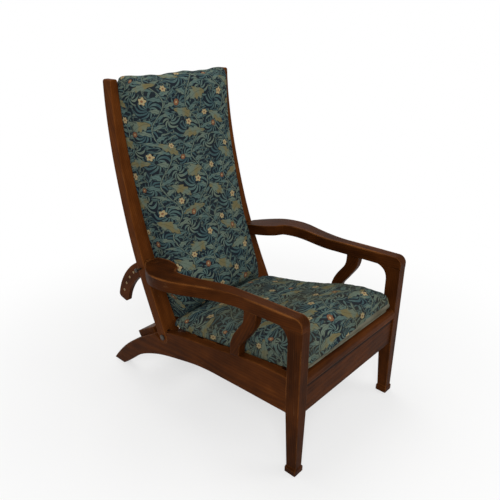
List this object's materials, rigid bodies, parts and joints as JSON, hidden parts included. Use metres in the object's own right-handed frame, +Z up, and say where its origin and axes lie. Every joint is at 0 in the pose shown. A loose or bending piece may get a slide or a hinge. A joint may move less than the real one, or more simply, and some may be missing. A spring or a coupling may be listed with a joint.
{
  "type": "reclining armchair",
  "caption": "Wooden reclining armchair: high slatted back hinged on the side rails, held by pins in curved perforated horns behind bowed arms, with loose seat and back cushions.",
  "frame": {"origin": "centre of the bounding box at floor level", "axes": "+Z up, the chair faces -Y, +X is towards the sitter's left hand; node names take left and right as seen from in front of the chair"},
  "size_m": [0.748, 0.991, 1.1726],
  "materials": {
    "wood": "satin waxed reddish brown",
    "upholstery": "matte woven cloth, navy with pale foliage",
    "dark_iron": "dark satin",
    "brass": "worn satin"
  },
  "bodies": {
    "frame": {"side_rail_left": "wood", "side_rail_right": "wood", "front_post_left": "wood", "front_post_right": "wood", "arm_left": "wood", "arm_right": "wood", "arm_strut_left": "wood", "arm_strut_right": "wood", "horn_left": "wood", "horn_right": "wood", "horn_bushes_left": "brass", "horn_bushes_right": "brass", "front_rail": "wood", "seat_lip": "wood", "rear_cross_rail": "wood", "corner_block_left": "wood", "corner_block_right": "wood", "seat_bearer_left": "wood", "seat_bearer_right": "wood", "seat_rear_rail": "wood", "seat_slat_1": "wood", "seat_slat_2": "wood", "seat_slat_3": "wood", "seat_slat_4": "wood", "seat_slat_5": "wood", "pivot_bolt_left": "dark_iron", "pivot_bolt_right": "dark_iron", "pivot_nut_left": "dark_iron", "pivot_nut_right": "dark_iron", "seat_cushion": "upholstery"},
    "back": {"back_post_left": "wood", "back_post_right": "wood", "back_bottom_rail": "wood", "back_slat_1": "wood", "back_slat_2": "wood", "back_slat_3": "wood", "back_slat_4": "wood", "back_slat_5": "wood", "back_top_rail": "wood", "back_cushion": "upholstery"},
    "pin_left": {"adjusting_pin_left": "dark_iron"},
    "pin_right": {"adjusting_pin_right": "dark_iron"}
  },
  "joints": [
    {"name": "recline", "type": "hinge", "parent": "frame", "child": "back", "pos_m": [0, 0.1515, 0.249], "axis": [-1, 0, 0], "range_deg": [0, 44]},
    {"name": "pin_left_slide", "type": "slide", "parent": "back", "child": "pin_left", "axis": [1, 0, 0], "range_m": [0, 0.015]},
    {"name": "pin_right_slide", "type": "slide", "parent": "back", "child": "pin_right", "axis": [-1, 0, 0], "range_m": [0, 0.015]}
  ]
}
